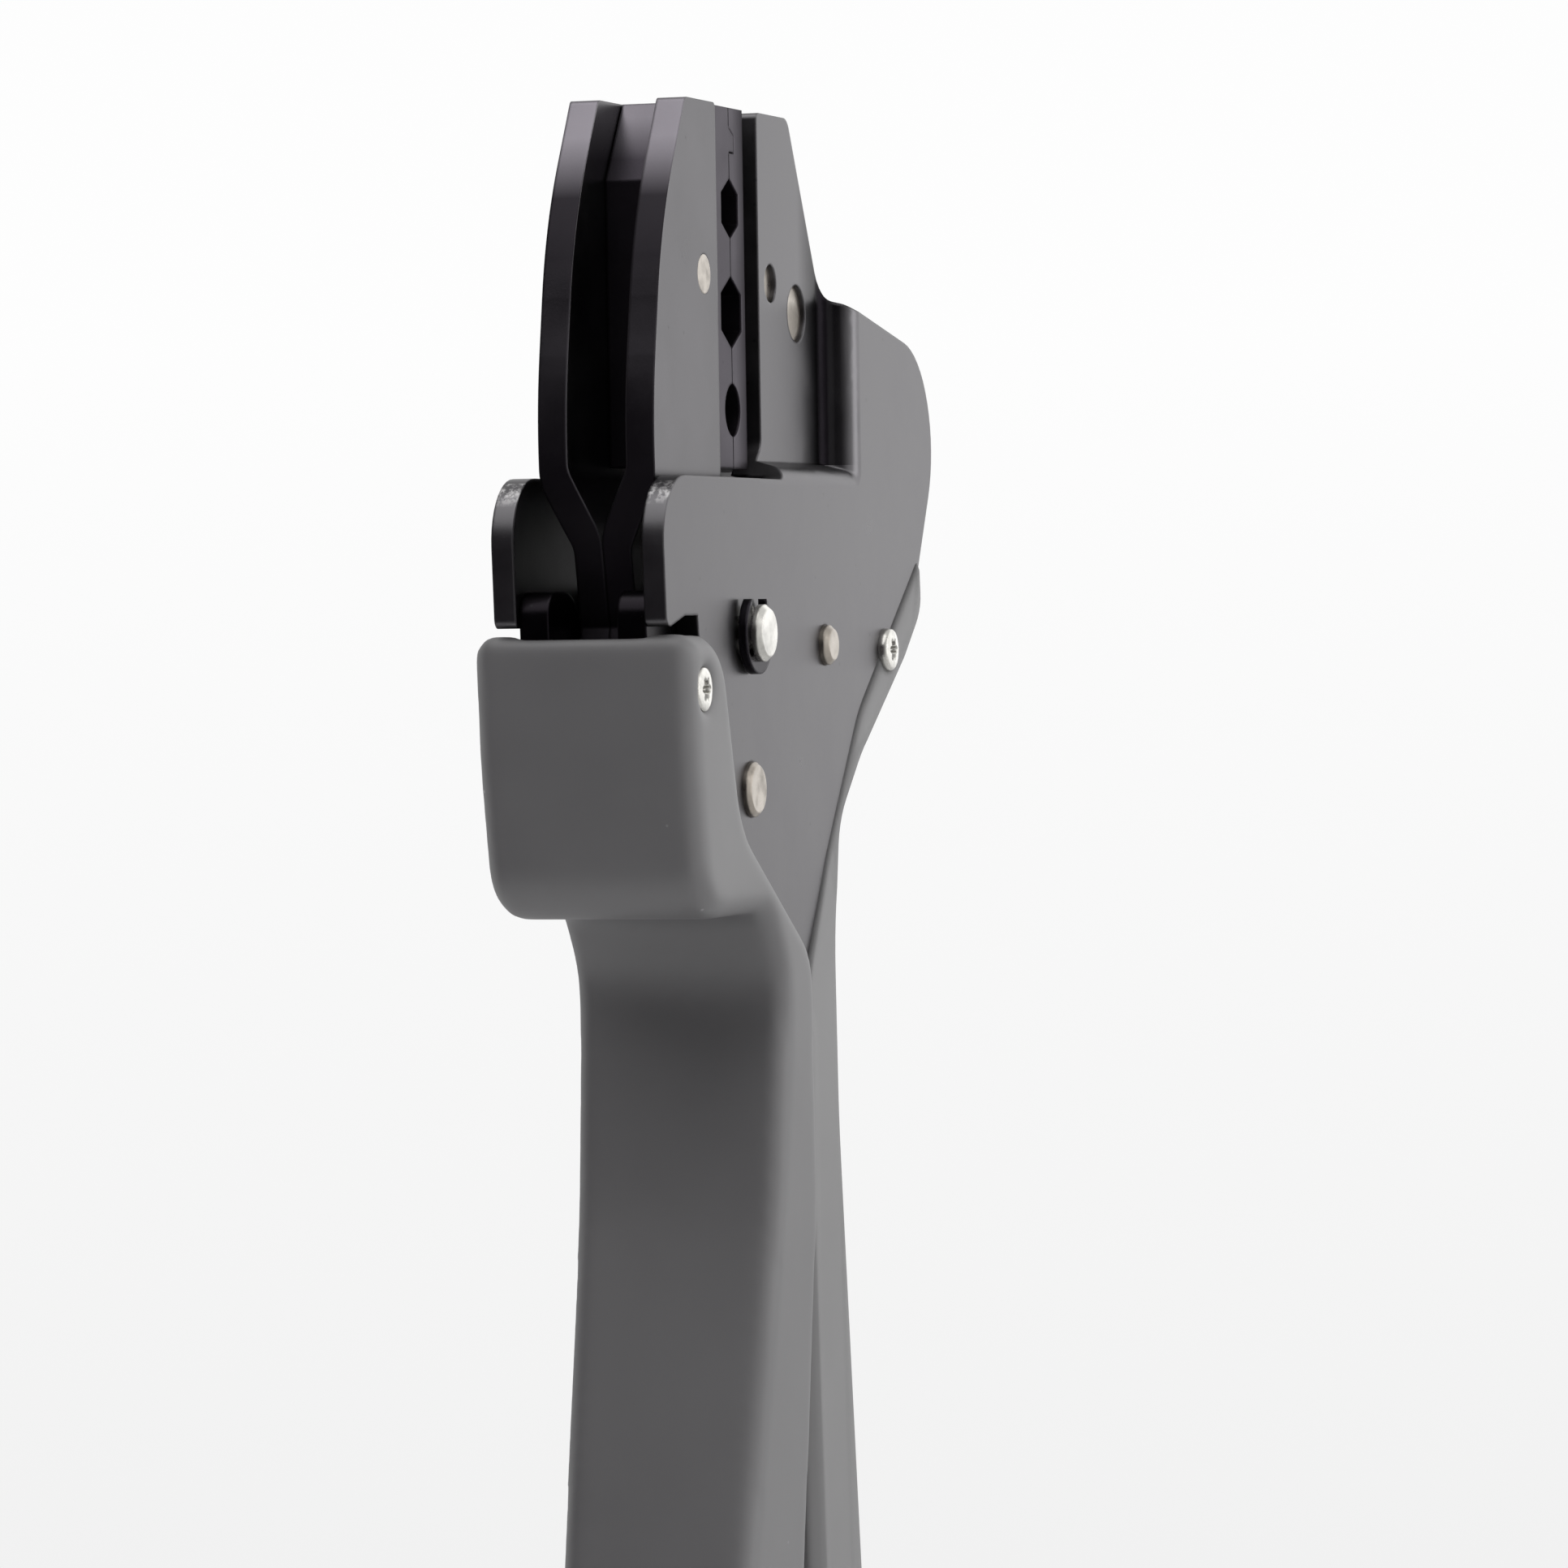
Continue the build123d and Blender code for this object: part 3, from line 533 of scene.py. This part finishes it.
def moulded_grip(name, colour, rolled, marks=None):
    """Rubbery moulded plastic: matte, softly mottled, very fine grain, a few specks of dust.

    Rolled is the radius that its edges look rounded to.
    """
    material, w, shader = new_material(name)
    shader.inputs["IOR"].default_value = GRIP_IOR
    edge = w.group(EDGES, Radius=rolled, Rub=0.0, Patch_Scale=200.0)
    grain = w.group(GRAIN, Grain_Scale=6500.0, Cloud_Scale=34.0)
    dust = w.group(SPECKS, Speck_Scale=260.0, Speck_Size=0.065, Share=0.10)
    mottled = w.blend(w.remap(grain["Cloud"], 0.3, 0.7), colour, scaled(colour, 1.10))
    marked = marks(w, mottled) if marks else mottled
    dusty = w.blend(w.maths("MULTIPLY", dust["Mask"], 0.6), marked, DUST_GREY)
    w.feed(shader.inputs["Base Color"], dusty)
    w.feed(shader.inputs["Roughness"], w.remap(grain["Cloud"], 0.3, 0.7, 0.50, 0.60))
    w.feed(shader.inputs["Normal"], w.bump(grain["Grain"], 0.30, 0.00002, edge["Normal"]))
    return material


FRAME_FINISH = black_oxide("black_oxide_frame", OXIDE, rub=0.12, marks=frame_marks)
JAW_FINISH = black_oxide("black_oxide_jaw", OXIDE, rub=0.05, glance=0.60, marks=painted_light_on_blade_fronts)
DIE_FINISH = black_oxide("black_oxide_die", DIE_OXIDE, rub=0.15, roughness=0.38, glance=0.42, marks=die_marks)
CLIP_FINISH = black_oxide("black_oxide_clip", CLIP_OXIDE, rub=0.10, roughness=0.30)
# Handle plates: a darker copy of the black oxide, painted shade
HANDLE_PAINTED_SHADE_FINISH = black_oxide("black_oxide_handle_plate_painted_shade", HANDLE_PAINTED_SHADE_OXIDE, rub=0.05, roughness=0.28)
PIN_FINISH = nickel("nickel_pin", NICKEL, roughness=0.26)
DULL_PIN_FINISH = nickel("dull_nickel_pin", DULL_NICKEL, roughness=0.34)
PIVOT_FINISH = nickel("pivot_nickel", CLEAN_NICKEL, roughness=0.20)
SCREW_FINISH = nickel("bright_screw", SCREW_NICKEL, roughness=0.16)
LINKAGE_FINISH = ground_steel("linkage_steel", LINKAGE_GREY)
GRIP_FINISH = moulded_grip("grip_plastic", GRIP_GREY, rolled=0.0010)
# Rear grip: a paler copy of the grip plastic, painted light, with painted light on its front edge
REAR_GRIP_PAINTED_LIGHT_FINISH = moulded_grip("rear_grip_plastic_painted_light", REAR_GRIP_PAINTED_LIGHT_GREY, rolled=0.0015, marks=painted_light_on_feathered_edge)

FINISH_OF = {
    "frame_plate": FRAME_FINISH,
    "jaw_plate": JAW_FINISH,
    "handle_plate": HANDLE_PAINTED_SHADE_FINISH,
    "moving_die": DIE_FINISH,
    "fixed_die": DIE_FINISH,
    "pivot_clip": CLIP_FINISH,
    "pivot_spacer": JAW_FINISH,
    "moving_die_pin": PIN_FINISH,
    "fixed_die_pin": PIN_FINISH,
    "jaw_pivot_pin": PIVOT_FINISH,
    "jaw_rivet": PIN_FINISH,
    "rear_rivet": PIN_FINISH,
    "anchor_pin": PIN_FINISH,
    "link_pin": DULL_PIN_FINISH,
    "toggle_pin": PIN_FINISH,
    "pawl_pin": PIN_FINISH,
    "adjusting_wheel": LINKAGE_FINISH,
    "pressure_arm": LINKAGE_FINISH,
    "pawl": LINKAGE_FINISH,
    "wheel_screw": SCREW_FINISH,
    "moving_grip_screw": SCREW_FINISH,
    "fixed_grip_screw": SCREW_FINISH,
    "moving_grip": GRIP_FINISH,
    "fixed_grip": REAR_GRIP_PAINTED_LIGHT_FINISH,
}


def dress_nodes():
    """Every CAD node gets its finish; near and far pieces share one."""
    for name, node in NODES.items():
        family = name.removesuffix("_near").removesuffix("_far")
        for slot in node.material_slots:
            slot.material = FINISH_OF[family]


# Pieces of the scene's own

def new_piece(name, corners, faces, material):
    """Object at the origin with a mesh of the given corners and faces, in one material."""
    mesh = bpy.data.meshes.new(name)
    mesh.from_pydata(corners.tolist(), [], faces)
    mesh.materials.append(material)
    piece = bpy.data.objects.new(name, mesh)
    bpy.context.scene.collection.objects.link(piece)
    return piece


def grid_mesh(name, rings, material):
    """Closed surface from a grid of points, rings by turns, with its first and last ring capped.

    Neighbouring points of neighbouring rings make quads, and each row of quads closes on itself.
    """
    count, turns = rings.shape[:2]
    corner = np.arange(count * turns).reshape(count, turns)
    here = corner[:-1]
    after = corner[1:]
    quads = np.stack([here, np.roll(here, -1, 1), np.roll(after, -1, 1), after], axis=-1).reshape(-1, 4)
    caps = [corner[0][::-1].tolist(), corner[-1].tolist()]
    piece = new_piece(name, rings.reshape(-1, 3), quads.tolist() + caps, material)
    piece.data.shade_smooth()
    return piece


def node_copy(node, name, material):
    """New object with the faces of a CAD node and its corners joined, and the corners as an array."""
    source = NODES[node].data
    corners = np.empty((len(source.vertices), 3))
    source.vertices.foreach_get("co", corners.ravel())
    piece = new_piece(name, corners, [list(face.vertices) for face in source.polygons], material)
    piece.modifiers.new("joined_corners", "WELD").merge_threshold = SAME_CORNER
    return piece, corners


def distance_from_line(places, line):
    """Distance of each place from a line of straight stretches, all of them in two coordinates.

    Each place is dropped onto every stretch, no further than its ends, and the nearest foot counts.
    """
    run = np.diff(line, axis=0)
    reach = places[:, None] - line[:-1]
    along = np.clip((reach * run).sum(axis=2) / (run * run).sum(axis=1), 0.0, 1.0)
    return np.linalg.norm(reach - along[..., None] * run, axis=2).min(axis=1)


def feathered_cheeks(node, body):
    """Rear grip whose cheeks thin out to their front edge, standing for the CAD one.

    A corner that stands out from the frame's face keeps a share of its height over that face. The
    share is its distance from the line of the front edge over the width of the slope, never under
    the least thickness, and all of it below the cheeks.
    """
    piece, corners = node_copy(node, node + "_feathered", REAR_GRIP_PAINTED_LIGHT_FINISH)
    distance = distance_from_line(corners[:, [0, 2]], np.array(CHEEK_EDGE))
    slope = np.clip(distance / CHEEK_WIDTH, CHEEK_THIN, 1.0)
    lower = np.clip((CHEEK_HIGH_Z - corners[:, 2]) / (CHEEK_HIGH_Z - CHEEK_LOW_Z), 0.0, 1.0)
    share = slope + (1.0 - slope) * lower
    outward = np.abs(corners[:, 1])
    over = outward - FRAME_FACE_Y
    lowered = np.where(over > CHEEK_STANDS_OUT, FRAME_FACE_Y + over * share, outward)
    corners[:, 1] = np.sign(corners[:, 1]) * lowered
    piece.data.vertices.foreach_set("co", corners.ravel())
    piece.data.update()
    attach(piece, body)
    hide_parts(node)


def moulding(node, body):
    """Grip with the rolled edges of a moulding, standing for the CAD one.

    The CAD node's own faces are joined and rebuilt as an even skin of small squares, and each corner
    of it is moved toward the middle of its neighbours a few times, which rounds the edges.
    """
    piece, _ = node_copy(node, node + "_moulding", GRIP_FINISH)
    skin = piece.modifiers.new("even_skin", "REMESH")
    skin.mode = "VOXEL"
    skin.voxel_size = SKIN_CELL
    skin.use_smooth_shade = True
    rolled = piece.modifiers.new("rolled_edges", "SMOOTH")
    rolled.factor = ROLL_SHARE
    rolled.iterations = ROLL_PASSES
    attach(piece, body)
    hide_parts(node)


def star_depth(share, angle):
    """Depth under the top of a pan head, at shares of its radius by angles round it.

    The head is a shallow dome, the square of the share, turned down further near its rim. The recess
    is a pit inside a circle with a cosine of six waves on it, let down smoothly over a narrow wall.
    """
    outline = RECESS_RADIUS + RECESS_LOBE * np.cos(RECESS_LOBES * angle)
    inside = np.clip((outline - share) / RECESS_WALL, 0.0, 1.0)
    pit = inside * inside * (3.0 - 2.0 * inside)
    rim = np.clip((share - HEAD_ROUND_FROM) / (1.0 - HEAD_ROUND_FROM), 0.0, 1.0)
    return HEAD_DOME * share ** 2 + HEAD_ROUNDING * rim ** 2 + RECESS_DEPTH * pit


def screw_with_star(node, body):
    """Pan head screw with a six lobed recess, standing for a CAD screw.

    Its rings run from the middle of the recess out over the head, down the rim, and in and along the
    shank. Each ring is a circle, its points set down by their depth. A screw that isn't wholly on the
    far side has its head on the near side.
    """
    low, high = (Vector(corner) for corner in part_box(node))
    centre = (low + high) / 2
    outward = 1.0 if low.y > 0.0 else -1.0
    top = high.y if outward > 0.0 else low.y
    angle = np.linspace(0.0, 2.0 * np.pi, 96, endpoint=False)
    share = np.concatenate([np.linspace(0.02, 0.93, 30), [0.965, 0.99, 1.0]])
    below = np.array([
        (HEAD_RADIUS, HEAD_RIM),
        (HEAD_RADIUS, HEAD_HEIGHT),
        (SHANK_RADIUS, HEAD_HEIGHT),
        (SHANK_RADIUS, high.y - low.y),
    ])
    radius = np.concatenate([share * HEAD_RADIUS, below[:, 0]])[:, None]
    depth = np.vstack([star_depth(share[:, None], angle), np.repeat(below[:, 1:], angle.size, axis=1)])
    across = centre.x + radius * np.cos(angle)
    upward = centre.z + radius * np.sin(angle)
    rings = np.stack([across, top - outward * depth, upward], axis=-1)
    if outward > 0.0:
        rings = rings[:, ::-1]
    piece = grid_mesh(node + "_star", rings, SCREW_FINISH)
    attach(piece, body)
    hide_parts(node)


# Surroundings

def floor_material():
    """Matte pale floor that turns clear away from the tool."""
    material = bpy.data.materials.new("floor")
    material.use_nodes = True
    material.node_tree.nodes.clear()
    w = Wiring(material.node_tree)
    matte = w.node("ShaderNodeBsdfDiffuse")
    matte.inputs["Color"].default_value = FLOOR_COLOUR
    clear = w.node("ShaderNodeBsdfTransparent")
    mix = w.node("ShaderNodeMixShader")
    away = w.measure("LENGTH", w.object_place(), (0.0, 0.0, 0.0))
    w.feed(mix.inputs["Fac"], w.remap(away, *FLOOR_FADE))
    w.feed(mix.inputs[1], matte.outputs[0])
    w.feed(mix.inputs[2], clear.outputs[0])
    w.feed(w.node("ShaderNodeOutputMaterial").inputs["Surface"], mix.outputs[0])
    return material


def floor():
    """Round floor: a thin disc whose radius runs out along its top face and back along its underside."""
    angle = np.linspace(0.0, 2.0 * np.pi, 96, endpoint=False)
    out = np.linspace(FLOOR_CAP_RADIUS, FLOOR_RADIUS, 24)
    reach = np.concatenate([out, out[::-1]])[:, None]
    height = np.repeat([FLOOR_TOP, FLOOR_TOP - FLOOR_THICKNESS], out.size)[:, None]
    rings = np.stack(np.broadcast_arrays(reach * np.cos(angle), reach * np.sin(angle), height), axis=-1)
    disc = grid_mesh("floor", rings, floor_material())


def studio_light():
    """White room, with a dark flag round the camera that shows in polished and satin surfaces.

    Camera, glossy and transmitted rays see the plain background. All others take the room's light,
    which is much stronger from straight below, as light thrown back by a pale table.
    """
    world = bpy.data.worlds.new("studio")
    bpy.context.scene.world = world
    world.use_nodes = True
    world.node_tree.nodes.clear()
    w = Wiring(world.node_tree)
    direction = w.node("ShaderNodeTexCoord").outputs["Generated"]
    height = w.parts(direction)["Z"]
    seen = w.remap(height, *BACKGROUND_RISE, BACKGROUND_LOW, BACKGROUND_HIGH)
    room = w.remap(height, *BOUNCE_FADE, BOUNCE_LEVEL, ROOM_LEVEL)
    rays = w.node("ShaderNodeLightPath").outputs
    straight = w.maths("MAXIMUM", rays["Is Camera Ray"], rays["Is Transmission Ray"])
    shown = w.maths("MAXIMUM", straight, rays["Is Glossy Ray"])
    toward_camera = w.measure("DOT_PRODUCT", direction, FLAG_SIDE.normalized())
    flag = w.maths("MULTIPLY", w.remap(toward_camera, *FLAG_SPREAD), rays["Is Glossy Ray"])
    background = w.node("ShaderNodeBackground")
    w.feed(background.inputs["Color"], w.blend(flag, WHITE, FLAG_COLOUR))
    w.feed(background.inputs["Strength"], w.choose(shown, room, seen))
    w.feed(w.node("ShaderNodeOutputWorld").inputs["Surface"], background.outputs[0])


def soft_box(name, place, target, size, power):
    """Square soft light that looks at a point."""
    data = bpy.data.lights.new(name, "AREA")
    data.shape = "RECTANGLE"
    data.size, data.size_y = size
    data.energy = power
    lamp = bpy.data.objects.new(name, data)
    lamp.visible_camera = False
    lamp.location = place
    lamp.rotation_euler = (Vector(target) - Vector(place)).to_track_quat("-Z", "Y").to_euler()
    bpy.context.scene.collection.objects.link(lamp)


def place_camera():
    """Camera of the photograph, put back along the ray through the middle of the large hexagon."""
    ahead = Vector((cos(VIEW_TURN), sin(VIEW_TURN), 0.0))
    sideways = Vector((sin(VIEW_TURN), -cos(VIEW_TURN), 0.0))
    upright = Vector((0.0, 0.0, 1.0))
    forward = ahead * cos(VIEW_DROP) - upright * sin(VIEW_DROP)
    level_up = upright * cos(VIEW_DROP) + ahead * sin(VIEW_DROP)
    right = sideways * cos(VIEW_LEAN) + level_up * sin(VIEW_LEAN)
    up = level_up * cos(VIEW_LEAN) - sideways * sin(VIEW_LEAN)
    across = (SEAM_PIXEL[0] - IMAGE_SIDE / 2) / FOCAL_PIXELS
    down = (SEAM_PIXEL[1] - IMAGE_SIDE / 2) / FOCAL_PIXELS
    ray = forward + right * across - up * down
    data = bpy.data.cameras.new("camera")
    data.sensor_width = SENSOR
    data.lens = FOCAL_PIXELS / IMAGE_SIDE * SENSOR
    camera = bpy.data.objects.new("camera", data)
    camera.matrix_world = Matrix.LocRotScale(
        SEAM - ray * VIEW_DISTANCE, Matrix((right, up, -forward)).transposed(), None)
    bpy.context.scene.collection.objects.link(camera)
    bpy.context.scene.camera = camera


place_camera()
floor()
studio_light()
for lamp in SOFT_BOXES:
    soft_box(*lamp)
bpy.context.scene.view_settings.view_transform = "Standard"

dress_nodes()
moulding("moving_grip", "moving_handle")
feathered_cheeks("fixed_grip", "frame")
for screw, carrier in STAR_SCREWS.items():
    screw_with_star(screw, carrier)
